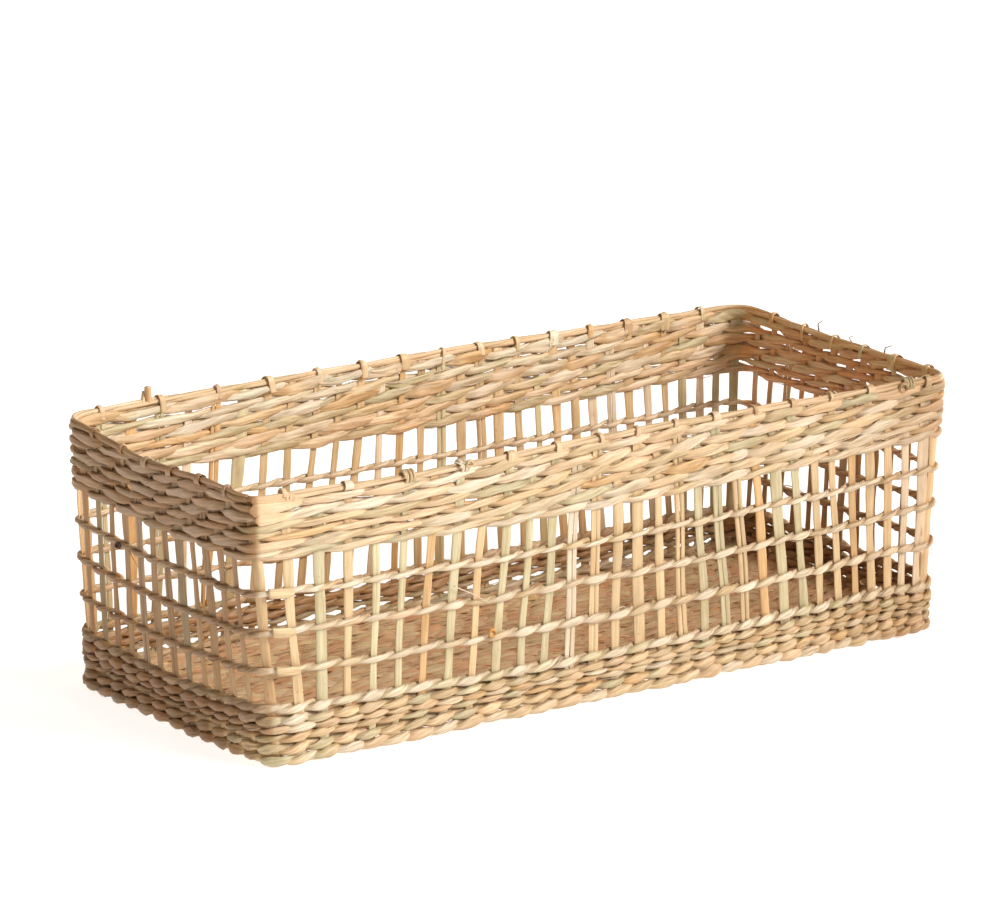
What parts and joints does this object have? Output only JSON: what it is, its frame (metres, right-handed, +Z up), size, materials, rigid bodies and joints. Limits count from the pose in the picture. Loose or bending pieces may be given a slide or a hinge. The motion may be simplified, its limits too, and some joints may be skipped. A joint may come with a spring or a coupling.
{
  "type": "bread basket",
  "caption": "Long low rectangular bread basket twined from dried rush, with closed bands at foot and rim, an open lattice between them and a woven floor.",
  "frame": {"origin": "centre of the underside, at the bottom of the foot braid", "axes": "+X along the long side towards the end where the stakes stand closer together, +Y across, towards the back side, +Z up"},
  "size_m": [0.3598, 0.152, 0.12],
  "materials": {
    "band_straw": "dry twisted rush with a slight waxy sheen, straw with peach and pale green strands",
    "lattice_straw": "dry twisted rush, pale straw, slight sheen",
    "stake_straw": "flat dry leaf strips with lengthwise creases, pale yellow straw",
    "floor_straw": "matt, frayed flat strips, rosy tan",
    "rim_straw": "dry rush rod with folded flat strip ends, pale tan"
  },
  "bodies": {
    "root": {"foot_braid": "band_straw", "floor_rows_lower": "floor_straw", "floor_warps": "floor_straw", "floor_rows_upper": "floor_straw", "front_stakes": "stake_straw", "back_stakes": "stake_straw", "left_stakes": "stake_straw", "right_stakes": "stake_straw", "corner_stakes": "stake_straw", "bottom_row_1": "band_straw", "bottom_row_2": "band_straw", "bottom_row_3": "band_straw", "bottom_row_4": "band_straw", "bottom_row_5": "band_straw", "open_row_1": "lattice_straw", "open_row_2": "lattice_straw", "open_row_3": "lattice_straw", "top_row_1": "band_straw", "top_row_2": "band_straw", "top_row_3": "band_straw", "top_row_4": "band_straw", "top_row_5": "band_straw", "top_row_6": "band_straw", "rim_rod": "rim_straw", "front_wraps": "rim_straw", "back_wraps": "rim_straw", "left_wraps": "rim_straw", "right_wraps": "rim_straw"}
  },
  "joints": []
}
